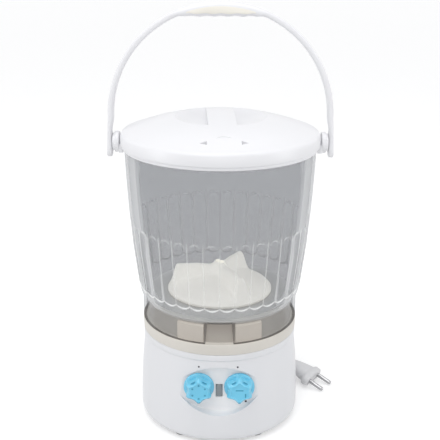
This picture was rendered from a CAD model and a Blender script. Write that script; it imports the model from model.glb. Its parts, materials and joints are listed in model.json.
import json
import math

import bmesh
import bpy
from mathutils import Euler, Matrix, Vector


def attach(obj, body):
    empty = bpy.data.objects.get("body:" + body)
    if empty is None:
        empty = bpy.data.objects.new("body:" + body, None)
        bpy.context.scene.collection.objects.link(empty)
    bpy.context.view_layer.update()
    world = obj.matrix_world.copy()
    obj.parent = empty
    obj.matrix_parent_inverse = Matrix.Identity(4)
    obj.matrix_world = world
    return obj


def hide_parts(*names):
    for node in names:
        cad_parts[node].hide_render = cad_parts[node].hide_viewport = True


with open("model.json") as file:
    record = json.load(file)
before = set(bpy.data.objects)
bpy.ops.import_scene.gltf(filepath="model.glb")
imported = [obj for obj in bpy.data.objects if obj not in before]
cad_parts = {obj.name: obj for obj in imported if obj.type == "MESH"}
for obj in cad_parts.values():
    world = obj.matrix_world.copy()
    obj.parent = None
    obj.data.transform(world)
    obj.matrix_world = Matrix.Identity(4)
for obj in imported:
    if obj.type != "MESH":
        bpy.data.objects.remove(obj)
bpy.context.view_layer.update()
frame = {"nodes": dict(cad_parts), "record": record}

# All sizes below are in millimetres and are scaled once, where a mesh is made
MM = 0.001
TURN = math.tau

# Camera of the photograph
FRAME_PX = 440
FOCAL_PX = 860
CAMERA_AT = (0, -870, 512.2)
CAMERA_PITCH = 18.5
CAMERA_ROLL = 0.3

# Base
WALL_R = 82.9
RECESS_R = 81.5
PANEL_Y = -75.5
DOT_Z = 88.8
DOT_DOWN = 18.2
COLLAR_R = 83
SEAM_Z = 103
BAND_TOP = 115
SPIGOT_R = 77
SPIGOT_TOP = 136
DECK_LOW = 107
DECK_TOP = 110
PAD_STARTS = (-123, -78, 57, 102)
PAD_SWEEP = 21
FOOT_ANGLES = (57, 123, 237, 303)
FOOT_CIRCLE_R = 72.5
SLEEVE_AT = (50, 0, 15)

# Tub
SKIRT_R = 83.1
FLOOR_LOW = 139
FLOOR_TOP = 142
RIM_Z = 303
TUB_WALL = 3
FLUTES = 36
STEPS_A_FLUTE = 12
FLUTE_LOW = 152.3
FLUTE_HIGH = 227
FLUTE_DEPTH = 1.6
NOTCH_TOP_W = 26
NOTCH_LOW_W = 29.5
NOTCH_TOP = 138
AGITATOR_R = 56.2

# Lid, ring and handle
LID_SEAT = 305.5
LID_R = 103
LID_RIM_TOP = 319.5
LID_TOP = 338
LID_WALL = 2.2
LID_ROUND = 5
LID_TURN = 2.6
WELL_R = 47
WELL_FLOOR = 323
VENT_AT = (19.4, -81.5)
GRIP_HALF_W = 14
RING_OUT = 101
RING_LOW = 302.1
PIVOT_Z = 306.5
EAR_X = 103.8
EAR_R = 11
EAR_W = 7.2
BAIL_R = 115.5
BAIL_T = 6.4
BAIL_HALF_W = 7
GRIP_HALF_DEPTH = 9
BAIL_Z = 333
ARM_INNER = 111.4
ARM_LOW = 290.5
GRIP_LOW = 433.5

# Controls
KNOB_X = 21
KNOB_Z = 64.5
KNOB_BACK = -76.2
KNOB_R = 15.8
LENS_Z = 59

# Lead
CORD_R = 3.25
COIL_CENTRE = (7, 148)
COIL_OUT = 43
COIL_Z = 3.9
COIL_STEP = 6.95
COIL_LAYERS = 4
COIL_TURNS = 5 + 250 / 360
PLUG_TIPS = Vector((127.5, 34, 2.5))
PLUG_HEADING = -36
PLUG_TILT = 17
PIN_LEN = 19
PIN_PITCH = 19
PIN_R = 2.4
PLUG_BODY = 34
PLUG_RELIEF = 20

nodes = frame["nodes"]


# Camera and light

def make_camera():
    """The photograph's camera, pitched down at the front of the machine."""
    data = bpy.data.cameras.new("camera")
    data.sensor_width = 36
    data.lens = FOCAL_PX / FRAME_PX * data.sensor_width
    data.clip_start = 0.05
    data.clip_end = 60
    camera = bpy.data.objects.new("camera", data)
    bpy.context.collection.objects.link(camera)
    turn = Euler((math.radians(90 - CAMERA_PITCH), 0, 0)).to_matrix()
    roll = Matrix.Rotation(math.radians(CAMERA_ROLL), 3, "Z")
    camera.rotation_euler = (turn @ roll).to_euler()
    camera.location = Vector(CAMERA_AT) * MM
    bpy.context.scene.camera = camera


make_camera()


# Lead: one cord from the strain relief through the coil to the plug

def eased(points, per=4):
    """A smooth run of points through the given ones."""
    p = [Vector(q) for q in points]
    p = [p[0] * 2 - p[1]] + p + [p[-1] * 2 - p[-2]]
    out = []
    for i in range(1, len(p) - 2):
        for k in range(per):
            t = k / per
            bend = (p[i + 1] - p[i - 1]) * t
            pull = (p[i - 1] * 2 - p[i] * 5 + p[i + 1] * 4 - p[i + 2]) * t * t
            twist = (p[i] * 3 - p[i - 1] - p[i + 1] * 3 + p[i + 2]) * t * t * t
            out.append((p[i] * 2 + bend + pull + twist) / 2)
    out.append(p[-2])
    return out


def coil_point(turn):
    """A point of the coil, which spirals in and out and climbs a layer where it reverses."""
    layer_turns = COIL_TURNS / COIL_LAYERS
    layer = min(int(turn / layer_turns), COIL_LAYERS - 1)
    part = turn - layer * layer_turns
    inward = part if layer % 2 == 0 else layer_turns - part
    r = COIL_OUT - inward * COIL_STEP
    climbs = [(turn - k * layer_turns + 0.25) / 0.5 for k in range(1, COIL_LAYERS)]
    z = COIL_Z + COIL_STEP * sum(min(max(c, 0), 1) for c in climbs)
    x, y = COIL_CENTRE
    return Vector((x + r * math.cos(TURN * turn), y + r * math.sin(TURN * turn), z))


def plug_direction():
    """The way the plug's pins point."""
    heading, tilt = math.radians(PLUG_HEADING), math.radians(PLUG_TILT)
    return Vector((
        math.cos(tilt) * math.cos(heading),
        math.cos(tilt) * math.sin(heading),
        -math.sin(tilt),
    ))


def lead_route():
    """The lead's centre line, with a point every few degrees of the coil."""
    fall = ((100, 15), (108, 14.4), (117, 12), (126, 8.3), (134, 5.2), (141.5, COIL_Z))
    start = [(SLEEVE_AT[0], y, z) for y, z in fall]
    steps = round(COIL_TURNS * 60)
    coil = [coil_point(COIL_TURNS * i / steps) for i in range(steps + 1)]
    away = (coil[-1] - coil[-2]).normalized() * CORD_R * 2
    away.z = 0
    rear = PLUG_TIPS - plug_direction() * (PIN_LEN + PLUG_BODY + PLUG_RELIEF)
    tail = [coil[-1] + away, (15, 99.5, 25), (31, 94, 25.4), (45, 88.5, 25.8), (58, 82, 26), rear]
    return eased(start, 3) + coil + eased(tail, 4)


# Materials

def noise(nt, coords, scale, detail=2.0, stretch=(1, 1, 1)):
    """A noise in the object's own space, stretched along its axes."""
    place = nt.nodes.new("ShaderNodeMapping")
    place.inputs["Scale"].default_value = stretch
    nt.links.new(coords.outputs["Object"], place.inputs["Vector"])
    n = nt.nodes.new("ShaderNodeTexNoise")
    n.inputs["Scale"].default_value = scale
    n.inputs["Detail"].default_value = detail
    nt.links.new(place.outputs["Vector"], n.inputs["Vector"])
    return n.outputs["Fac"]


def mapped(nt, value, start, end, low, high, way="SMOOTHSTEP"):
    """Maps a value from one range to another, smoothly or straight."""
    m = nt.nodes.new("ShaderNodeMapRange")
    m.interpolation_type = way
    for name, number in (("From Min", start), ("From Max", end), ("To Min", low), ("To Max", high)):
        m.inputs[name].default_value = number
    nt.links.new(value, m.inputs["Value"])
    return m.outputs["Result"]


def spread(nt, value, low, high):
    """Maps the middle of a noise to a range."""
    return mapped(nt, value, 0.3, 0.7, low, high, "LINEAR")


def two_tone(nt, factor, first, second):
    """A colour between two, by a factor from 0 to 1."""
    mix = nt.nodes.new("ShaderNodeMix")
    mix.data_type = "RGBA"
    mix.inputs[6].default_value = (*first, 1)
    mix.inputs[7].default_value = (*second, 1)
    nt.links.new(factor, mix.inputs[0])
    return mix.outputs[2]


def toned(colour, k):
    return tuple(min(1, c * k) for c in colour)


def bumped(nt, bsdf, value, depth, strength=0.3):
    """Raises the surface by a value, to a depth in millimetres."""
    bump = nt.nodes.new("ShaderNodeBump")
    bump.inputs["Strength"].default_value = strength
    bump.inputs["Distance"].default_value = depth * MM
    nt.links.new(value, bump.inputs["Height"])
    nt.links.new(bump.outputs["Normal"], bsdf.inputs["Normal"])


def worked(nt, operation, first, second):
    """Two values added, multiplied or the like; the second may be a plain number."""
    node = nt.nodes.new("ShaderNodeMath")
    node.operation = operation
    nt.links.new(first, node.inputs[0])
    if isinstance(second, (int, float)):
        node.inputs[1].default_value = second
    else:
        nt.links.new(second, node.inputs[1])
    return node.outputs["Value"]


def painted(nt, name):
    """A value that is painted on the mesh."""
    node = nt.nodes.new("ShaderNodeAttribute")
    node.attribute_name = name
    return node.outputs["Fac"]


def blended(nt, factor, first, second):
    """A shader between two, by a factor from 0 to 1."""
    mix = nt.nodes.new("ShaderNodeMixShader")
    nt.links.new(factor, mix.inputs["Fac"])
    nt.links.new(first, mix.inputs[1])
    nt.links.new(second, mix.inputs[2])
    return mix.outputs["Shader"]


def lamp_rays(nt):
    """1 for the rays that carry light from surface to surface or test for shadow."""
    path = nt.nodes.new("ShaderNodeLightPath")
    return worked(nt, "MAXIMUM", path.outputs["Is Shadow Ray"], path.outputs["Is Diffuse Ray"])


def looked_at(nt):
    """1 for the camera's rays, and for those by which metal and glass show what is round them."""
    path = nt.nodes.new("ShaderNodeLightPath")
    seen = worked(nt, "MAXIMUM", path.outputs["Is Camera Ray"], path.outputs["Is Glossy Ray"])
    return worked(nt, "MAXIMUM", seen, path.outputs["Is Transmission Ray"])


def new_material(name):
    mat = bpy.data.materials.new(name)
    mat.use_nodes = True
    nt = mat.node_tree
    coords = nt.nodes.new("ShaderNodeTexCoord")
    return mat, nt, coords, nt.nodes["Principled BSDF"]


def moulded(name, colour, rough, tone=0.03, grain=900, depth=0.03, coat=0.0, glow=0.0, passes=0.0):
    """Moulded plastic or rubber: cloudy flow marks, a fine skin grain and a soft gloss.

    Thin plastic also passes a share of the lamps' light to what lies under it.
    """
    mat, nt, coords, bsdf = new_material(name)
    flow = noise(nt, coords, 22, 3)
    bsdf_colour = two_tone(nt, spread(nt, flow, 0, 1), toned(colour, 1 - tone), toned(colour, 1 + tone))
    nt.links.new(bsdf_colour, bsdf.inputs["Base Color"])
    smear = noise(nt, coords, 14, 1)
    nt.links.new(spread(nt, smear, rough * 0.9, rough * 1.1), bsdf.inputs["Roughness"])
    if depth:
        bumped(nt, bsdf, noise(nt, coords, grain, 2), depth)
    bsdf.inputs["Coat Weight"].default_value = coat
    bsdf.inputs["Coat Roughness"].default_value = 0.12
    bsdf.inputs["Subsurface Weight"].default_value = glow
    bsdf.inputs["Subsurface Radius"].default_value = (0.004, 0.004, 0.004)
    if passes:
        share = worked(nt, "MULTIPLY", lamp_rays(nt), passes)
        clear = nt.nodes.new("ShaderNodeBsdfTransparent")
        thinned = blended(nt, share, bsdf.outputs["BSDF"], clear.outputs["BSDF"])
        nt.links.new(thinned, nt.nodes["Material Output"].inputs["Surface"])
    return mat


def metal(name, colour, rough, stretch=(1, 1, 1), grain=500, depth=0.02):
    """Metal with fine scratches along one way."""
    mat, nt, coords, bsdf = new_material(name)
    lines = noise(nt, coords, grain, 3, stretch)
    streaks = two_tone(nt, spread(nt, lines, 0, 1), toned(colour, 0.88), toned(colour, 1.08))
    nt.links.new(streaks, bsdf.inputs["Base Color"])
    nt.links.new(spread(nt, lines, rough * 0.7, rough * 1.3), bsdf.inputs["Roughness"])
    bumped(nt, bsdf, lines, depth)
    bsdf.inputs["Metallic"].default_value = 1
    return mat


def layered(name, kind, scale, dark, pale, depth, strength, rough, metallic):
    """Metal in fine layers: rings of wire about the upright axis, or bands of sheet up it."""
    mat, nt, coords, bsdf = new_material(name)
    wave = nt.nodes.new("ShaderNodeTexWave")
    wave.wave_type = kind
    wave.rings_direction = "Z"
    wave.bands_direction = "Z"
    wave.inputs["Scale"].default_value = scale
    nt.links.new(coords.outputs["Object"], wave.inputs["Vector"])
    nt.links.new(two_tone(nt, wave.outputs["Fac"], dark, pale), bsdf.inputs["Base Color"])
    bumped(nt, bsdf, wave.outputs["Fac"], depth, strength)
    bsdf.inputs["Roughness"].default_value = rough
    bsdf.inputs["Metallic"].default_value = metallic
    return mat


def clear_smoke(name, clear, deep, haze):
    """Clear smoky plastic: its tint deepens up the wall, and it shines where it is seen edge on.

    Its mesh carries two painted values: glint for lit edges and matt faces, trace for dark cut edges.
    """
    mat, nt, coords, sheet = new_material(name)
    sheet.inputs["Base Color"].default_value = (0.74, 0.75, 0.76, 1)
    sheet.inputs["Roughness"].default_value = 0.06
    place = nt.nodes.new("ShaderNodeSeparateXYZ")
    nt.links.new(coords.outputs["Object"], place.inputs["Vector"])
    up = mapped(nt, place.outputs["Z"], 0.19, 0.25, 0, 1)
    through = nt.nodes.new("ShaderNodeBsdfTransparent")
    nt.links.new(two_tone(nt, up, clear, deep), through.inputs["Color"])
    facing = nt.nodes.new("ShaderNodeLayerWeight")
    facing.inputs["Blend"].default_value = 0.5
    starts = mapped(nt, facing.outputs["Facing"], 0.54, 0.60, 0, 0.46)
    fades = mapped(nt, facing.outputs["Facing"], 0.72, 0.80, 1, 0.35)
    side = mapped(nt, place.outputs["Z"], 0.136, 0.150, 0.15, 1)
    cloud = spread(nt, noise(nt, coords, 30, 3), haze * 0.9, haze * 1.1)
    sheen = worked(nt, "MULTIPLY", worked(nt, "MULTIPLY", starts, fades), side)
    veil = worked(nt, "ADD", sheen, cloud)
    wall = blended(nt, veil, through.outputs["BSDF"], sheet.outputs["BSDF"])
    lit = nt.nodes.new("ShaderNodeBsdfPrincipled")
    lit.inputs["Base Color"].default_value = (0.86, 0.87, 0.86, 1)
    lit.inputs["Roughness"].default_value = 0.25
    edged = blended(nt, painted(nt, "glint"), wall, lit.outputs["BSDF"])
    dark = nt.nodes.new("ShaderNodeBsdfPrincipled")
    dark.inputs["Base Color"].default_value = (0.13, 0.115, 0.10, 1)
    dark.inputs["Roughness"].default_value = 0.4
    traced = blended(nt, painted(nt, "trace"), edged, dark.outputs["BSDF"])
    open_way = nt.nodes.new("ShaderNodeBsdfTransparent")
    open_way.inputs["Color"].default_value = (0.98, 0.98, 0.98, 1)
    lighted = blended(nt, lamp_rays(nt), traced, open_way.outputs["BSDF"])
    nt.links.new(lighted, nt.nodes["Material Output"].inputs["Surface"])
    return mat


def collar_plastic(name, band, wall):
    """The collar's plastic: one tone on the band, and a duller one on the wall behind the skirt."""
    mat, nt, coords, bsdf = new_material(name)
    flow = spread(nt, noise(nt, coords, 22, 3), 0.96, 1.04)
    mix = nt.nodes.new("ShaderNodeMix")
    mix.data_type = "RGBA"
    mix.blend_type = "MULTIPLY"
    mix.inputs[0].default_value = 1.0
    nt.links.new(two_tone(nt, painted(nt, "dull"), band, wall), mix.inputs[6])
    nt.links.new(flow, mix.inputs[7])
    nt.links.new(mix.outputs[2], bsdf.inputs["Base Color"])
    nt.links.new(spread(nt, noise(nt, coords, 60, 4), 0.36, 0.48), bsdf.inputs["Roughness"])
    bumped(nt, bsdf, noise(nt, coords, 700, 2), 0.03)
    return mat


WHITE = (0.83, 0.83, 0.85)
CREAM = (0.88, 0.85, 0.775)
BLUE = (0.16, 0.58, 0.80)
HOUSING_WHITE = (0.74, 0.745, 0.765)
RECESS_WHITE = (0.90, 0.89, 0.89)
finishes = {
    "white_plastic": moulded("white_plastic", WHITE, 0.34, 0.006, depth=0),
    "cream_plastic": moulded("cream_plastic", CREAM, 0.38, 0.02, 700, 0.03, glow=0.15),
    "clear_smoke": clear_smoke("clear_smoke", (0.757, 0.760, 0.766), (0.768, 0.773, 0.781), 0.022),
    "blue_plastic": moulded("blue_plastic", BLUE, 0.26, 0.03, 900, 0.02, coat=0.3, glow=0.2, passes=0.5),
    "grey_plastic": moulded("grey_plastic", (0.62, 0.62, 0.62), 0.5, 0.04, 500, 0.06),
    "lens_grey": moulded("lens_grey", (0.24, 0.26, 0.27), 0.3, 0.04, 900, 0.02, coat=0.2),
    "dark_plastic": moulded("dark_plastic", (0.045, 0.045, 0.05), 0.5, 0.1, 500, 0.05),
    "switch_plastic": moulded("switch_plastic", (0.74, 0.69, 0.55), 0.45, 0.04, 500, 0.05),
    "capacitor_can": moulded("capacitor_can", (0.82, 0.82, 0.78), 0.35, 0.03, 400, 0.05),
    "cord_white": moulded("cord_white", (0.68, 0.68, 0.69), 0.42, 0.02, 800, 0.05),
    "grey_rubber": moulded("grey_rubber", (0.30, 0.30, 0.305), 0.75, 0.1, 600, 0.1),
    "black_rubber": moulded("black_rubber", (0.02, 0.02, 0.02), 0.7, 0.2, 600, 0.1),
    "screw_steel": metal("screw_steel", (0.62, 0.61, 0.58), 0.3),
    "sheet_steel": metal("sheet_steel", (0.60, 0.61, 0.63), 0.4, (1, 1, 1), 60),
    "lamination_steel": layered(
        "lamination_steel", "BANDS", 320, (0.16, 0.17, 0.19), (0.42, 0.43, 0.46), 0.1, 0.5, 0.5, 0.8,
    ),
    "shaft_steel": metal("shaft_steel", (0.70, 0.70, 0.71), 0.22, (1, 1, 12)),
    "cast_aluminium": metal("cast_aluminium", (0.66, 0.66, 0.67), 0.45, (1, 1, 1), 400, 0.08),
    "copper_wire": layered(
        "copper_wire", "RINGS", 500, (0.30, 0.12, 0.05), (0.72, 0.36, 0.17), 0.2, 0.6, 0.35, 0.6,
    ),
    "bearing_brass": metal("bearing_brass", (0.62, 0.42, 0.20), 0.4),
    "plated_metal": metal("plated_metal", (0.42, 0.42, 0.43), 0.16, (1, 1, 4)),
}
print_ink = moulded("print_ink", (0.06, 0.06, 0.07), 0.6, 0.05)
mark_blue = moulded("mark_blue", (0.04, 0.30, 0.46), 0.4, 0.05)
base_white = moulded("base_white", HOUSING_WHITE, 0.34, 0.006, depth=0)
tree = base_white.node_tree
recess_white = two_tone(tree, painted(tree, "recess"), HOUSING_WHITE, RECESS_WHITE)
tree.links.new(recess_white, tree.nodes["Principled BSDF"].inputs["Base Color"])
lid_plastic = moulded("lid_plastic", WHITE, 0.34, 0.006, depth=0, passes=0.5)
milky = moulded("milky_cream", (0.92, 0.905, 0.85), 0.4, 0.012, 700, 0.02, glow=0.2)
carried = milky.node_tree.nodes["Principled BSDF"]
carried.inputs["Emission Color"].default_value = (0.92, 0.90, 0.84, 1)
carried.inputs["Emission Strength"].default_value = 0.40
two_tone_cream = collar_plastic("collar_cream", (0.66, 0.63, 0.58), (0.27, 0.24, 0.21))
beige = moulded("beige", (0.97, 0.88, 0.77), 0.45, 0.02, 700, 0.02)


# Small makers of shapes

def arc(x, z, r, start, end, steps):
    """Points of an arc in a profile, angles in degrees."""
    angles = [math.radians(start + (end - start) * i / steps) for i in range(steps + 1)]
    return [(x + r * math.cos(a), z + r * math.sin(a)) for a in angles]


def lathe(profile, steps=192, angle=TURN, start=0.0):
    """A turned solid about the upright axis, from (radius, height) points round or down to the axis."""
    bm = bmesh.new()
    verts = [bm.verts.new((r * MM, 0, z * MM)) for r, z in profile]
    on_axis = profile[0][0] == 0 and profile[-1][0] == 0
    edges = [bm.edges.new(pair) for pair in zip(verts, verts[1:])]
    if not on_axis:
        edges.append(bm.edges.new((verts[-1], verts[0])))
    if angle < TURN:
        bmesh.ops.contextual_create(bm, geom=edges)
        bmesh.ops.rotate(bm, verts=verts, cent=(0, 0, 0), matrix=Matrix.Rotation(start, 3, "Z"))
    bmesh.ops.spin(
        bm, geom=bm.verts[:] + bm.edges[:] + bm.faces[:], cent=(0, 0, 0), axis=(0, 0, 1), dvec=(0, 0, 0),
        angle=angle, steps=steps, use_merge=angle == TURN,
    )
    bmesh.ops.remove_doubles(bm, verts=bm.verts[:], dist=1e-7)
    return bm


def skin(rings):
    """A capped skin through rings of points in millimetres, each with as many points as the first."""
    bm = bmesh.new()
    ring = bmesh.ops.create_circle(bm, segments=len(rings[0]), radius=1, cap_ends=True)["verts"]
    for v, p in zip(ring, rings[0]):
        v.co = Vector(p) * MM
    for points in rings[1:]:
        old = set(ring)
        rim = [e for e in bm.edges if e.verts[0] in old and e.verts[1] in old]
        made = bmesh.ops.extrude_edge_only(bm, edges=rim)["geom"]
        fresh = {g for g in made if isinstance(g, bmesh.types.BMVert)}
        ring = [next(e.other_vert(v) for e in v.link_edges if e.other_vert(v) in fresh) for v in ring]
        for v, p in zip(ring, points):
            v.co = Vector(p) * MM
    last = set(ring)
    rim = [e for e in bm.edges if e.verts[0] in last and e.verts[1] in last]
    bmesh.ops.contextual_create(bm, geom=rim)
    return bm


def circle_ring(r, z, count, shape=None):
    """A level ring of points; shape scales the radius by the angle."""
    out = []
    for i in range(count):
        a = TURN * i / count
        k = r * (shape(a) if shape else 1)
        out.append((k * math.cos(a), k * math.sin(a), z))
    return out


def rounded_box(half_a, half_b, power, count):
    """Points of a box with round corners; a power of 2 makes it an ellipse."""
    out = []
    for i in range(count):
        c, s = math.cos(TURN * i / count), math.sin(TURN * i / count)
        a = half_a * math.copysign(abs(c) ** (2 / power), c)
        b = half_b * math.copysign(abs(s) ** (2 / power), s)
        out.append((a, b))
    return out


def slab(outline, low, high, edge=0.0, segments=3):
    """A flat outline raised from low to high, with its edges rounded."""
    bm = skin([[(x, y, low) for x, y in outline], [(x, y, high) for x, y in outline]])
    if edge:
        bmesh.ops.recalc_face_normals(bm, faces=bm.faces[:])
        rounded(bm, crisp_edges(bm, 35), edge, segments)
    return bm


def crisp_edges(bm, sharp):
    return [e for e in bm.edges if e.is_manifold and e.calc_face_angle(0) > math.radians(sharp)]


def rounded(bm, edges, offset, segments):
    bmesh.ops.bevel(
        bm, geom=edges, offset=offset * MM, offset_type="OFFSET", segments=segments, profile=0.5,
        affect="EDGES", clamp_overlap=True, material=-1,
    )


def moved(bm, matrix):
    bmesh.ops.transform(bm, matrix=matrix, verts=bm.verts[:])
    return bm


def at(x, y, z):
    return Matrix.Translation(Vector((x, y, z)) * MM)


def turned(degrees, axis):
    return Matrix.Rotation(math.radians(degrees), 4, axis)


def together(*parts):
    """One bmesh with the shapes of several, which are freed."""
    bm = bmesh.new()
    for part in parts:
        mesh = bpy.data.meshes.new("part")
        part.to_mesh(mesh)
        part.free()
        bm.from_mesh(mesh)
        bpy.data.meshes.remove(mesh)
    return bm


def plain_object(bm, name):
    mesh = bpy.data.meshes.new(name)
    bmesh.ops.recalc_face_normals(bm, faces=bm.faces[:])
    bm.to_mesh(mesh)
    bm.free()
    obj = bpy.data.objects.new(name, mesh)
    bpy.context.collection.objects.link(obj)
    return obj


def combined(bm, tool, operation):
    """The shape of bm with that of tool cut away, added or shared."""
    body = plain_object(bm, "body")
    other = plain_object(tool, "tool")
    step = body.modifiers.new("step", "BOOLEAN")
    step.operation = operation
    step.solver = "EXACT"
    step.object = other
    depsgraph = bpy.context.evaluated_depsgraph_get()
    out = bmesh.new()
    out.from_mesh(body.evaluated_get(depsgraph).data)
    for obj in (body, other):
        mesh = obj.data
        bpy.data.objects.remove(obj)
        bpy.data.meshes.remove(mesh)
    bmesh.ops.remove_doubles(out, verts=out.verts[:], dist=1e-6)
    return out


def piece(bm, name, body, finish, *replaced, sharp=35, material=None):
    """Makes an object of a finished shape, dresses it and lets it ride on its body."""
    bmesh.ops.recalc_face_normals(bm, faces=bm.faces[:])
    mesh = bpy.data.meshes.new(name)
    bm.to_mesh(mesh)
    bm.free()
    mesh.polygons.foreach_set("use_smooth", [True] * len(mesh.polygons))
    mesh.set_sharp_from_angle(angle=math.radians(sharp))
    obj = bpy.data.objects.new(name, mesh)
    bpy.context.collection.objects.link(obj)
    mesh.materials.append(material or finishes[finish])
    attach(obj, body)
    if replaced:
        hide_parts(*replaced)
    return obj


def paint(obj, name, values, domain="POINT"):
    """Paints a value on each point or face of an object's mesh."""
    obj.data.attributes.new(name, "FLOAT", domain).data.foreach_set("value", values)


def from_cad(node, edge=0.4, segments=2, sharp=35):
    """A copy of a node's own shape with its sharp edges rounded."""
    bm = bmesh.new()
    bm.from_mesh(nodes[node].data)
    bmesh.ops.remove_doubles(bm, verts=bm.verts[:], dist=1e-6)
    bmesh.ops.dissolve_limit(bm, angle_limit=math.radians(0.3), verts=bm.verts[:], edges=bm.edges[:])
    rounded(bm, crisp_edges(bm, sharp), edge, segments)
    return bm


# Lead, plug and tie

def mains_lead():
    points = lead_route()
    curve = bpy.data.curves.new("mains_lead", "CURVE")
    curve.dimensions = "3D"
    curve.bevel_depth = CORD_R * MM
    curve.bevel_resolution = 5
    curve.use_fill_caps = True
    spline = curve.splines.new("POLY")
    spline.points.add(len(points) - 1)
    for target, p in zip(spline.points, points):
        target.co = (*(p * MM), 1)
    curve.materials.append(finishes["cord_white"])
    cord = bpy.data.objects.new("mains_lead", curve)
    bpy.context.collection.objects.link(cord)
    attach(cord, "base")
    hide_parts("cord_lead", "cord_coil", "cord_tail")
    return cord, points


def plug_place():
    """Puts a shape made along +X, with its pin tips at the origin, where the plug lies."""
    return at(*PLUG_TIPS) @ turned(PLUG_HEADING, "Z") @ turned(PLUG_TILT, "Y")


def plug_ring(x, half_w, half_t, power, count=40):
    """A ring across the plug: a rounded box at a distance along it."""
    return [(x, y, z) for y, z in rounded_box(half_w, half_t, power, count)]


def plug_shell():
    face = -PIN_LEN
    rear = face - PLUG_BODY
    body = [
        (face, 15.4, 5.6, 3), (face - 0.6, 16.6, 6.8, 3), (face - 1.6, 17.2, 7.3, 3),
        (face - 6.5, 17.4, 7.5, 3), (face - 7.6, 16.6, 7.2, 3), (face - 8.6, 13.6, 7.0, 2.8),
        (face - 12, 12.6, 7.4, 2.6), (face - 18, 11.2, 7.4, 2.4), (face - 25, 9.2, 6.9, 2.2),
        (rear + 3, 6.9, 6.2, 2), (rear, 5.9, 5.7, 2),
    ]
    sleeve = []
    for i in range(6):
        x = rear - i * PLUG_RELIEF / 6
        r = 5.6 - 1.5 * i / 6
        ridge = ((0.4, 0.9), (1.0, 0), (2.6, 0.1), (3.0, 0.9))
        sleeve += [(x - back, r - less, r - less, 2) for back, less in ridge]
    sleeve.append((rear - PLUG_RELIEF, CORD_R + 0.3, CORD_R + 0.3, 2))
    bm = skin([plug_ring(*ring) for ring in body + sleeve])
    return moved(bm, plug_place())


def plug_pins():
    parts = []
    for side in (-1, 1):
        rings = [(-PIN_LEN - 8, 1), (-2.2, 1), (-1.2, 0.92), (-0.4, 0.66), (0, 0.3)]
        pin = skin([plug_ring(x, share * PIN_R, share * PIN_R, 2, 32) for x, share in rings])
        parts.append(moved(pin, plug_place() @ at(0, side * PIN_PITCH / 2, 0)))
    return together(*parts)


lead, route = mains_lead()
plug = piece(plug_shell(), "plug", "base", "cord_white", "plug_body", sharp=50)
pins = piece(plug_pins(), "pins", "base", "plated_metal", "plug_pins")
tie = piece(from_cad("cord_tie", 0.15), "lead_tie", "base", "dark_plastic", "cord_tie")


# Base

def base_housing():
    """The housing's own shape from the frame, its edges softened."""
    return from_cad("base_housing", 0.5, 3, sharp=25)


def base_collar():
    """The cream collar: a band on the housing, and a spigot that the tub slips over."""
    band_in = 70.8
    profile = [(band_in, DECK_LOW), (band_in, SEAM_Z), (COLLAR_R - 0.5, SEAM_Z)]
    profile += [(COLLAR_R + 0.1, SEAM_Z + 0.5), (COLLAR_R + 0.3, SEAM_Z + 4)]
    profile += [(COLLAR_R + 0.3, BAND_TOP - 1.2)]
    profile += arc(COLLAR_R - 0.7, BAND_TOP - 1.2, 1.0, 0, 90, 4)
    profile += [(SPIGOT_R + 0.8, BAND_TOP - 0.1)] + arc(SPIGOT_R + 0.8, BAND_TOP + 0.7, 0.8, 270, 180, 3)
    profile += [(SPIGOT_R, z) for z in (118, 121, 124, 127, 130, 133)]
    profile += arc(SPIGOT_R - 0.8, SPIGOT_TOP - 0.8, 0.8, 0, 90, 4)
    profile += arc(SPIGOT_R - 1.7, SPIGOT_TOP - 0.8, 0.8, 90, 180, 4)
    profile += [(SPIGOT_R - 2.5, DECK_TOP + 1), (SPIGOT_R - 3.5, DECK_TOP), (12, DECK_TOP)]
    profile += [(11, DECK_TOP + 1.5), (7.05, DECK_TOP + 1.5)]
    profile += [(7.05, DECK_LOW - 10), (11, DECK_LOW - 10), (11, DECK_LOW)]
    return lathe(profile)


def collar_pads():
    """The beige pads on the collar's wall, which steady the tub's skirt."""
    pads = []
    for start in PAD_STARTS:
        inner, outer = SPIGOT_R - 0.5, SPIGOT_R + 2.6
        outline = [(inner, BAND_TOP - 0.5), (outer, BAND_TOP - 0.5), (outer, SPIGOT_TOP - 3)]
        outline += [(outer - 1.4, SPIGOT_TOP - 1.5), (inner, SPIGOT_TOP - 1.5)]
        pads.append(lathe(outline, 18, math.radians(PAD_SWEEP), math.radians(start)))
    return together(*pads)


def paint_dull(obj):
    """Marks the collar's wall behind the skirt as duller, and darkest at the top of the notch."""
    values = []
    for v in obj.data.vertices:
        x, y, z = v.co / MM
        r = math.hypot(x, y)
        value = 0.0
        if z > BAND_TOP and r < SPIGOT_R + 0.6:
            beside = abs(math.degrees(math.atan2(x, -y)))
            rise = (z - BAND_TOP) / (SPIGOT_TOP - BAND_TOP)
            value = 0.10 + 0.15 * rise if beside > 12 else 0.60 + 0.40 * rise
        values.append(value)
    paint(obj, "dull", values)


def rubber_feet():
    outline = [(0, 0), (5.8, 0)] + arc(6.6, 0.9, 0.9, 270, 360, 4) + [(7.5, 3), (0, 3)]
    feet = []
    for angle in FOOT_ANGLES:
        feet.append(moved(lathe(outline, 48), turned(angle, "Z") @ at(FOOT_CIRCLE_R, 0, 0)))
    return together(*feet)


def indicator():
    """The dark lens between the knobs, a bar with round ends."""
    half_w, half_h = 3.5, 7.25
    round_r = 3.0
    outline = arc(half_w - round_r, half_h - round_r, round_r, 0, 90, 8)
    outline += arc(-half_w + round_r, half_h - round_r, round_r, 90, 180, 8)
    outline += arc(-half_w + round_r, -half_h + round_r, round_r, 180, 270, 8)
    outline += arc(half_w - round_r, -half_h + round_r, round_r, 270, 360, 8)
    bar = slab(outline, 0, 5, 1.4, 4)
    return moved(bar, at(0, PANEL_Y + 3.8, LENS_Z) @ turned(90, "X"))


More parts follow.
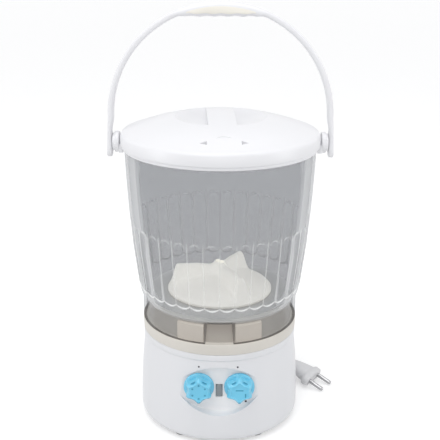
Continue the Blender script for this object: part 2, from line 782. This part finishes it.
def disc(r, low, high):
    """A small flat disc."""
    return slab([(x, y) for x, y, z in circle_ring(r, 0, 20)], low, high)


def pointer_dots():
    """A printed dot above each knob on the wall, and one on the panel under the selector."""
    dots = [moved(disc(1.2, -0.6, 0.12), at(KNOB_X + 7, PANEL_Y, KNOB_Z - DOT_DOWN) @ turned(90, "X"))]
    for x in (-KNOB_X, KNOB_X - 2):
        wall = math.sqrt(WALL_R ** 2 - x ** 2)
        heading = math.degrees(math.atan2(x, wall))
        upright = turned(heading, "Z") @ turned(92, "X")
        dots.append(moved(disc(0.95, -0.6, 0.12), at(x, -wall, DOT_Z) @ upright))
    return together(*dots)


def paint_recess(obj):
    """Marks the sunk panel of the housing as paler than its wall."""
    spots = [v.co / MM for v in obj.data.vertices]
    inside = [abs(p.y - PANEL_Y) < 0.6 and math.hypot(p.x, p.y) < RECESS_R for p in spots]
    paint(obj, "recess", [1.0 if sunk else 0.0 for sunk in inside])


def strain_relief():
    """The ribbed rubber sleeve where the lead leaves the housing."""
    rings = [(58, 7), (60, 7), (60.01, 4.9), (77.9, 4.9), (78, 7.2), (78.4, 7.5), (79.6, 7.5)]
    rings += [(80, 7.1), (80.1, 5.4)]
    for i in range(6):
        y = 81 + 3 * i
        r = 5.5 - 0.24 * i
        rings += [(y, r - 0.8), (y + 0.4, r), (y + 1.8, r - 0.05), (y + 2.2, r - 0.85)]
    rings += [(100, CORD_R + 0.25)]
    bm = skin([circle_ring(r, y, 40) for y, r in rings])
    return moved(bm, at(*SLEEVE_AT) @ turned(-90, "X"))


housing = piece(
    base_housing(), "housing", "base", "white_plastic", "base_housing", sharp=30, material=base_white,
)
paint_recess(housing)
collar = piece(base_collar(), "collar", "base", "cream_plastic", "base_collar", material=two_tone_cream)
paint_dull(collar)
piece(collar_pads(), "collar_pads", "base", "cream_plastic", material=beige)
piece(rubber_feet(), "feet", "base", "grey_rubber", "rubber_feet")
piece(indicator(), "indicator", "base", "lens_grey", "indicator_lens")
piece(pointer_dots(), "pointer_dots", "base", "white_plastic", material=print_ink)
piece(strain_relief(), "sleeve", "base", "cord_white", "strain_relief")


# Controls

def star(a):
    """A six-lobed outline with a lobe at the top."""
    return 1 + 0.115 * math.cos(6 * (a - math.pi / 2)) + 0.02 * math.cos(12 * (a - math.pi / 2))


def knob(x):
    """A knob: a round skirt, and a star with a bevelled rim and a sunk face."""
    count = 96
    skirt = [(0, 14.6), (0.4, 15.5), (1.0, KNOB_R), (2.4, KNOB_R), (3.2, 15.3), (3.6, 14.4)]
    rings = [circle_ring(r, z, count) for z, r in skirt]
    grip = [(3.8, 13.4), (4.6, 13.1), (10.6, 12.9), (11.6, 12.5), (13.6, 10.6), (14.3, 10.0)]
    grip += [(14.5, 9.4), (13.9, 9.0), (13.7, 8.6), (13.6, 6), (13.6, 3), (13.6, 1)]
    rings += [circle_ring(r, z, count, star) for z, r in grip]
    return moved(skin(rings), knob_place(x))


def knob_place(x):
    return at(x, KNOB_BACK, KNOB_Z) @ turned(90, "X")


def bar(length, width, low, high, degrees, radius, lean=0.0):
    """A small raised mark on a knob, at a radius and an angle."""
    x, y = length / 2, width / 2
    mark = slab([(-x, -y), (x, -y), (x, y), (-x, y)], low, high, 0.12, 2)
    leant = at(0, radius, 12.6) @ turned(lean, "X") @ at(0, 0, -12.6)
    return moved(mark, turned(degrees - 90, "Z") @ leant)


def knob_marks(x, dots, lines):
    """Moulded marks: two dashes and a pointer on the bevel, and dots or lines on the face."""
    parts = [bar(5.0, 1.0, 12.1, 12.85, angle, 12.0, -42) for angle in (60, 120)]
    parts.append(bar(2.6, 1.5, 12.1, 12.9, 270, 13.0, -42))
    for angle in dots:
        parts.append(moved(disc(1.0, 13.3, 13.75), turned(angle - 90, "Z") @ at(0, 7.4, 0)))
    for length, degrees, radius, spin in lines:
        line = bar(length, 1.2, 13.3, 13.8, spin, 0)
        parts.append(moved(line, turned(degrees - 90, "Z") @ at(0, radius, 0)))
    return moved(together(*parts), knob_place(x))


piece(knob(-KNOB_X), "timer_cap", "timer", "blue_plastic", "timer_knob", sharp=40)
piece(knob(KNOB_X), "selector_cap", "selector", "blue_plastic", "selector_knob", sharp=40)
piece(
    knob_marks(-KNOB_X, (30, 90, 150, 210, 270, 330), ()), "timer_marks", "timer",
    "blue_plastic", material=mark_blue,
)
piece(
    knob_marks(KNOB_X, (), ((8, 90, 2.2, 90), (6, -35, 7.6, 125))), "selector_marks", "selector",
    "blue_plastic", material=mark_blue,
)


# Tub

TUB_SIDE = [
    (83.1, 138), (83.3, 141), (84.3, 144), (85.6, 148), (87.6, 157), (89.5, 173), (91.2, 187),
    (92.9, 201), (94.5, 221), (95.8, 235), (96.7, 249), (97.5, 263), (98.2, 277), (98.8, 290),
    (99.2, 302.2),
]


def side_radius(z):
    """The tub's outer radius at a height."""
    for (r0, z0), (r1, z1) in zip(TUB_SIDE, TUB_SIDE[1:]):
        if z <= z1:
            return r0 + (r1 - r0) * (z - z0) / (z1 - z0)
    return TUB_SIDE[-1][0]


def step_up(value, start, width):
    t = min(max((value - start) / width, 0), 1)
    return t * t * (3 - 2 * t)


def flute_side(x, y):
    """Where a point lies across its flute, from -1 at one crest to 1 at the next."""
    share = math.atan2(y, x) / TURN * FLUTES
    return (share - math.floor(share)) * 2 - 1


def flute_ends(u):
    """The lower and upper end of a flute, which both curve round."""
    return FLUTE_LOW + 3.2 * u * u, FLUTE_HIGH - 7 * u * u


def flute_depth(x, y, z):
    u = flute_side(x, y)
    low, high = flute_ends(u)
    ledge = step_up(z, low, 1.8)
    arch = 1 - step_up(z, high - 3, 3)
    fade = 1 - 0.55 * step_up(z, FLUTE_LOW, FLUTE_HIGH - FLUTE_LOW)
    return FLUTE_DEPTH * (1 - u * u) * ledge * arch * fade


def tub_shape():
    """The tub's fluted wall, skirt and floor as one clear piece, with a notch in its skirt."""
    heights = [z / 2 for z in range(292, 322)] + [161 + 4.5 * i for i in range(13)]
    heights += [217 + i for i in range(14)] + [232 + 5.0 * i for i in range(15)]
    low_side = [(r, z) for r, z in eased_profile(TUB_SIDE[:4]) if z < 145.8]
    outer = [(SKIRT_R - 0.1, BAND_TOP + 0.3), (SKIRT_R, BAND_TOP + 1.0)] + low_side
    outer += [(side_radius(z), z) for z in heights] + [(99.2, 302.6), (98.9, RIM_Z)]
    inner_side = [(side_radius(z) - TUB_WALL, z) for z in (302, 280, 255, 230, 205, 185, 165, 150)]
    inner = [(96.5, RIM_Z)] + inner_side + arc(76.5, FLOOR_TOP + 4.5, 4.5, 0, -90, 6)
    inner += [(8.05, FLOOR_TOP), (8.05, 130.2), (13.6, 130.2), (14, 130.6), (14, FLOOR_LOW)]
    skirt_in = SKIRT_R - TUB_WALL
    inner += [(78, FLOOR_LOW), (skirt_in, FLOOR_LOW - 1.8), (skirt_in, BAND_TOP + 0.6)]
    inner += [(80.5, BAND_TOP), (82.6, BAND_TOP)]
    bm = lathe(outer + inner, FLUTES * STEPS_A_FLUTE)
    for v in bm.verts:
        x, y, z = v.co / MM
        r = math.hypot(x, y)
        if FLUTE_LOW < z < FLUTE_HIGH and r > side_radius(z) - 0.5:
            k = (r - flute_depth(x, y, z)) / r
            v.co.x *= k
            v.co.y *= k
    return combined(bm, notch_wedge(), "DIFFERENCE")


def notch_wedge():
    """The cut in the skirt, a little wider outside than inside, so that its edges show."""
    rings = []
    for y, wider in ((-70, -1.6), (-92, 1.1)):
        low, top = NOTCH_LOW_W / 2 + 0.2 + wider, NOTCH_TOP_W / 2 + wider
        height = NOTCH_TOP + wider
        foot = BAND_TOP - 2
        rings.append([(-low, y, foot), (low, y, foot), (top, y, height), (-top, y, height)])
    return skin(rings)


def eased_profile(points, per=4):
    return [(p.x, p.y) for p in eased([Vector((r, z, 0)) for r, z in points], per)]


def glint_at(x, y, z):
    """How bright the tub is at a point: the ledge, arch and crest of each flute, and the matt floor."""
    r = math.hypot(x, y)
    if r < 78.5 and z < FLOOR_TOP + 4:
        return 0.62
    if r < side_radius(z) - 2.2 or z < BAND_TOP + 20:
        return 0.0
    u = flute_side(x, y)
    low, high = flute_ends(u)
    ledge = 0.9 * max(0, 1 - abs(z - low - 0.8) / 1.3)
    arch = 0.38 * (1 - u * u) * max(0, 1 - abs(z - high + 1.5) / 1.6)
    crest = (0.20 + 0.34 * abs(x) / r) * max(0, 1 - (1 - abs(u)) / 0.17)
    crest *= step_up(z, low, 3) * (1 - step_up(z, high + 4, 5))
    return max(ledge, arch, crest)


def paint_tub(obj):
    """Marks the tub's lit edges as glint, and its cut edges as trace."""
    paint(obj, "glint", [glint_at(*(v.co / MM)) for v in obj.data.vertices])
    cuts = []
    for face in obj.data.polygons:
        x, y, z = face.center / MM
        foot = z < BAND_TOP + 0.8
        beside = abs(x) < NOTCH_LOW_W / 2 + 2 and y < 0 and z < NOTCH_TOP + 2
        sideways = abs(face.normal.x * x + face.normal.y * y) < 0.75 * math.hypot(x, y)
        cuts.append(0.85 if math.hypot(x, y) > 79.5 and (foot or beside and sideways) else 0.0)
    paint(obj, "trace", cuts, "FACE")


tub = piece(tub_shape(), "tub_shell", "tub_body", "clear_smoke", "tub", sharp=40)
paint_tub(tub)


# Agitator

def agitator_height(x, y):
    """Height of the agitator above the tub floor: a dome with three vanes that blend into it."""
    r = math.hypot(x, y)
    dome = 5 + 15 * (1 - (r / AGITATOR_R) ** 2)
    hub = 26 * math.exp(-((r / 11) ** 4))
    total = dome ** 4 + hub ** 4
    for angle in (60, 180, 300):
        a = math.radians(angle)
        along = x * math.cos(a) + y * math.sin(a)
        across = -x * math.sin(a) + y * math.cos(a)
        if along > 0:
            width = 11.5 - 0.06 * along
            body = math.exp(-abs(across / width) ** 2.4)
            end = 1 - step_up(along, 46, 9) * 0.8
            total += (29 * body * end * min(1, 0.88 + along / 200)) ** 4
    return total ** (1 / 4)


def agitator_shape():
    radii = [1.2 * i for i in range(1, 46)] + [54.6, 55.3, 55.9]
    top = [(r, 10) for r in reversed(radii)]
    outline = [(4.05, 0.7), (10, 0.7), (10, 2), (53, 2), (53.4, 0.7), (55.6, 0.7)]
    outline += [(AGITATOR_R, 1.3), (AGITATOR_R, 3.2)]
    bm = lathe([(r, z + FLOOR_TOP) for r, z in outline + top if r >= 4.05], 216)
    for v in bm.verts:
        x, y, z = v.co / MM
        if abs(z - FLOOR_TOP - 10) < 0.01:
            edge = step_up(AGITATOR_R - math.hypot(x, y), 0, 3)
            v.co.z = (FLOOR_TOP + 3.2 + (agitator_height(x, y) - 3.2) * edge) * MM
    return bm


def agitator_cap():
    outline = [(0, 14), (7, 14), (7, 25.0), (6.4, 25.9), (5.4, 26.3), (3, 26.4), (0, 25.6)]
    return lathe([(r, z + FLOOR_TOP + 0.6) for r, z in outline], 64)


piece(
    agitator_shape(), "agitator_disc", "agitator_body", "cream_plastic", "agitator", sharp=60,
    material=milky,
)
piece(agitator_cap(), "cap", "agitator_body", "cream_plastic", "agitator_cap", material=milky)


# Lid

def dome_radius():
    edge, rise = LID_R - LID_ROUND, LID_TOP - LID_RIM_TOP
    return (edge * edge + rise * rise) / (2 * rise)


def dome_height(r):
    """Height of the lid's outer skin at a distance from its axis."""
    ball = dome_radius()
    return LID_TOP - ball + math.sqrt(ball * ball - r * r)


def dish_profile(grow):
    """The dish sunk in the lid's top, from its middle to past its edge, grown by a distance."""
    sag = dome_height(WELL_R) - WELL_FLOOR
    ball = (WELL_R ** 2 + sag ** 2) / (2 * sag)
    reach = WELL_R + 1 + grow
    steps = 14
    radii = [reach * i / steps for i in range(steps + 1)]
    return [(r, WELL_FLOOR + ball - math.sqrt((ball + grow) ** 2 - r * r)) for r in radii]


def lid_shape():
    """The domed lid with its rolled rim, the dished hollow and the grip bar across it."""
    outer = [(r, dome_height(r)) for r in (97, 94, 88, 82, 75, 68, 61, 54, 47, 40, 32, 24, 16, 8, 0)]
    rim = [(LID_R - 1, LID_SEAT), (LID_R - 0.2, LID_SEAT + 0.8), (LID_R, LID_SEAT + 2)]
    rim += [(LID_R, LID_RIM_TOP - LID_ROUND + 0.4), (LID_R - 0.3, LID_RIM_TOP - LID_ROUND + 0.9)]
    rim += arc(LID_R - LID_ROUND - 0.2, LID_RIM_TOP - LID_ROUND, LID_ROUND, 14, 82, 8)
    under = [(r, dome_height(r) - LID_WALL) for r in (0, 20, 40, 60, 80, 93)]
    plug = [(93.8, 316), (93.8, 299.8), (94.3, 299.5), (95.3, 299.5), (95.8, 300.2), (95.8, LID_SEAT)]
    shell = lathe(under + plug + rim + outer, 256)
    dish = dish_profile(LID_WALL)
    edge = dish[-1][0]
    cover = [(edge, dome_height(edge) - 0.4), (0, dome_height(0) - 0.4)]
    bm = combined(shell, lathe(dish + cover, 128), "UNION")
    for side in (-1, 1):
        scoop = dish_profile(0)
        scoop = lathe(scoop + [(scoop[-1][0], LID_TOP + 4), (0, LID_TOP + 4)], 128)
        half = WELL_R + 2
        outline = [(GRIP_HALF_W, -half), (half, -half), (half, half), (GRIP_HALF_W, half)]
        beside = moved(slab(outline, WELL_FLOOR - 5, LID_TOP + 6), turned(90 - 90 * side, "Z"))
        bm = combined(bm, combined(scoop, beside, "INTERSECT"), "DIFFERENCE")
        vent = slab([(-3, -3.2), (4, 0), (-3, 3.2)], LID_SEAT + 3, LID_TOP)
        vent = moved(vent, at(side * VENT_AT[0], VENT_AT[1], 0) @ turned(90 - 90 * side, "Z"))
        bm = combined(bm, vent, "DIFFERENCE")
    near = (WELL_R + 3) * MM
    lip = [e for e in crisp_edges(bm, 24) if all(math.hypot(v.co.x, v.co.y) < near for v in e.verts)]
    rounded(bm, lip, 1.3, 3)
    return moved(bm, turned(LID_TURN, "Z"))


def thumb_rest():
    """A low crescent ridge on the front of the dome, between the vents."""
    rings = []
    for i in range(17):
        x = -7.5 + 15 * i / 16
        y = -74 + 3.4 * math.cos(x / 7.5 * math.pi / 2)
        swell = math.sqrt(max(0.02, 1 - (x / 7.7) ** 2))
        z = dome_height(math.hypot(x, y))
        steps = [TURN * k / 12 for k in range(12)]
        rings.append([(x, y + 1.3 * swell * math.cos(a), z + 0.55 * swell * math.sin(a)) for a in steps])
    return moved(skin(rings), turned(LID_TURN, "Z"))


piece(lid_shape(), "lid_shell", "lid_body", "white_plastic", "lid", sharp=32, material=lid_plastic)
piece(thumb_rest(), "thumb_rest", "lid_body", "white_plastic", material=lid_plastic)


# Rim ring, ears and handle

def rim_ring():
    """The white ring on the tub's rim, with a boss on each side for the handle."""
    outline = [(99.3, RING_LOW + 0.3), (100.3, RING_LOW), (RING_OUT, RING_LOW + 0.7)]
    outline += [(RING_OUT, LID_SEAT - 0.6), (RING_OUT - 0.6, LID_SEAT - 0.1)]
    outline += [(96.4, LID_SEAT - 0.1), (96.4, RIM_Z), (99.3, RIM_Z)]
    parts = [lathe(outline, 256)]
    for side in (0, 180):
        levels = [(0, 7), (0.3, EAR_R - 0.8), (1.1, EAR_R), (4.6, EAR_R), (5.0, EAR_R - 0.4)]
        levels += [(5.1, 9.2), (EAR_W - 0.5, 9.2), (EAR_W, 8.7), (EAR_W, 3.2)]
        boss = skin([circle_ring(r, z, 64) for z, r in levels])
        parts.append(moved(boss, turned(side, "Z") @ at(EAR_X, 0, PIVOT_Z) @ turned(90, "Y")))
        near, far = RING_OUT - 1, EAR_X + 1
        footprint = [(near, -9), (far, -9), (far, 9), (near, 9)]
        arm = slab(footprint, PIVOT_Z - EAR_R + 1, LID_SEAT - 0.2, 0.6)
        parts.append(moved(arm, turned(side, "Z")))
    return together(*parts)


def section(centre, out, half_t, half_w, power=3.2, count=28):
    """A ring across the handle's band: a rounded box in the plane of its outward way and Y."""
    ring = rounded_box(half_t, half_w, power, count)
    return [(centre[0] + out[0] * a, wide, centre[1] + out[1] * a) for a, wide in ring]


def band_sections(side):
    """Sections of one arm from its rounded lower end to the start of the arch."""
    rings = []
    for z in (ARM_LOW + 0.05, 290.9, 291.6, 293, 295, 297.5, 302, 308, 314, 319, 323, 328):
        drop = max(0.0, ARM_LOW + BAIL_HALF_W - z)
        half_w = math.sqrt(max(0.3, BAIL_HALF_W ** 2 - drop ** 2))
        lift = step_up(z, 318, 15)
        inner = ARM_INNER - (ARM_INNER - (BAIL_R - BAIL_T)) * lift
        outer = 117.8 - (117.8 - BAIL_R) * (z - ARM_LOW) / (BAIL_Z - ARM_LOW)
        thin = 1 if z > ARM_LOW + 2 else 0.6 + 0.2 * (z - ARM_LOW)
        middle, half_t = (inner + outer) / 2, (outer - inner) / 2 * thin
        rings.append(section((side * middle, z), (side, 0), half_t, half_w))
    return rings


def arch_section(degrees):
    """A section of the arch, which thickens into the hand grip with finger waves below."""
    a = math.radians(degrees)
    thin = BAIL_R - BAIL_T
    flat = (GRIP_LOW - BAIL_Z) / max(math.sin(a), 0.2)
    x = BAIL_R * math.cos(a)
    wave = 0.45 * math.cos(x / 16 * TURN) * step_up(46 - abs(x), 0, 12)
    inner = min(thin, flat + wave) if math.sin(a) > 0.5 else thin
    grip = step_up(56 - abs(x), 0, 14)
    half_w = BAIL_HALF_W + (GRIP_HALF_DEPTH - BAIL_HALF_W) * grip
    middle, half_t = (BAIL_R + inner) / 2, (BAIL_R - inner) / 2
    out = (math.cos(a), math.sin(a))
    return section((middle * out[0], BAIL_Z + middle * out[1]), out, half_t, half_w, 3.2 - 0.6 * grip)


def handle_bail():
    """The handle in one run, up one arm, over the arch and down the other."""
    arch = [arch_section(1.5 * i) for i in range(121)]
    return skin(band_sections(1) + arch + band_sections(-1)[::-1])


def grip_insets():
    """The cream lens let into each face of the hand grip."""
    parts = []
    for side in (1, -1):
        outline = []
        half = 35
        for i in range(25):
            x = -half + 2 * half * i / 24
            outline.append((x, GRIP_LOW + 3.2 + 0.4 * math.cos(x / 16 * TURN)))
        top = math.degrees(math.acos(half / 111))
        outline += arc(0, BAIL_Z, 110.8, top + 1, 179 - top, 24)
        lens = slab(outline, GRIP_HALF_DEPTH - 3, GRIP_HALF_DEPTH + 0.25, 0.5, 2)
        parts.append(moved(lens, turned(90 - 90 * side, "Z") @ turned(90, "X")))
    return together(*parts)


piece(rim_ring(), "ring", "tub_body", "white_plastic", "tub_rim_ring")
piece(handle_bail(), "bail", "handle", "white_plastic", "handle_bail", sharp=60)
piece(grip_insets(), "grip_lens", "handle", "cream_plastic", "grip_insets")


# Pieces that keep the frame's own shape get their finish

for entry in frame["record"]["subparts"]:
    node = nodes[entry["node"]]
    if not node.hide_render:
        node.data.materials.clear()
        node.data.materials.append(finishes[entry["material_slot"]])


# Floor and light

def floor():
    """A pale floor that takes the shadow and reads as white to the camera."""
    bpy.ops.mesh.primitive_plane_add(size=24, location=(0, 0, -0.0002))
    plane = bpy.context.object
    plane.name = "floor"
    mat = bpy.data.materials.new("floor")
    mat.use_nodes = True
    nt = mat.node_tree
    cover = nt.nodes["Principled BSDF"]
    cover.inputs["Base Color"].default_value = (0.72, 0.72, 0.72, 1)
    cover.inputs["Roughness"].default_value = 0.8
    lift = nt.nodes.new("ShaderNodeEmission")
    lift.inputs["Strength"].default_value = 0.40
    dark = nt.nodes.new("ShaderNodeEmission")
    dark.inputs["Strength"].default_value = 0.0
    both = nt.nodes.new("ShaderNodeAddShader")
    nt.links.new(cover.outputs["BSDF"], both.inputs[0])
    glow = blended(nt, looked_at(nt), dark.outputs["Emission"], lift.outputs["Emission"])
    nt.links.new(glow, both.inputs[1])
    nt.links.new(both.outputs["Shader"], nt.nodes["Material Output"].inputs["Surface"])
    plane.data.materials.append(mat)


def world_light(strength):
    """An even white room, plain white where it is looked at."""
    world = bpy.data.worlds.new("room")
    world.use_nodes = True
    bpy.context.scene.world = world
    nt = world.node_tree
    ambient = nt.nodes["Background"]
    ambient.inputs["Color"].default_value = (0.97, 0.98, 1, 1)
    ambient.inputs["Strength"].default_value = strength
    seen = nt.nodes.new("ShaderNodeBackground")
    seen.inputs["Color"].default_value = (1, 1, 1, 1)
    seen.inputs["Strength"].default_value = 1.0
    room = blended(nt, looked_at(nt), ambient.outputs["Background"], seen.outputs["Background"])
    nt.links.new(room, nt.nodes["World Output"].inputs["Surface"])


def make_lamp(name, kind, strength, direction):
    lamp = bpy.data.objects.new(name, bpy.data.lights.new(name, kind))
    lamp.data.energy = strength
    lamp.rotation_euler = Vector(direction).to_track_quat("-Z", "Y").to_euler()
    bpy.context.collection.objects.link(lamp)
    return lamp


def sun(name, direction, strength, spread_degrees):
    make_lamp(name, "SUN", strength, direction).data.angle = math.radians(spread_degrees)


def softbox(name, place, target, width, height, power):
    lamp = make_lamp(name, "AREA", power, Vector(target) - Vector(place))
    lamp.location = place
    lamp.visible_camera = False
    lamp.data.shape = "RECTANGLE"
    lamp.data.size = width
    lamp.data.size_y = height


floor()
world_light(0.51)
sun("key", (0.25, 0.45, -0.86), 0.70, 40)
sun("fill", (-0.10, 0.93, -0.34), 0.46, 60)
bpy.context.scene.view_settings.view_transform = "Standard"
softbox("left_box", (-1.3, -0.5, 0.5), (0, 0, 0.22), 0.3, 1.1, 4)
softbox("right_box", (1.3, -0.4, 0.5), (0, 0, 0.22), 0.3, 1.1, 4)
softbox("top_box", (0, 0.1, 1.5), (0, 0, 0.3), 1.0, 1.0, 5)
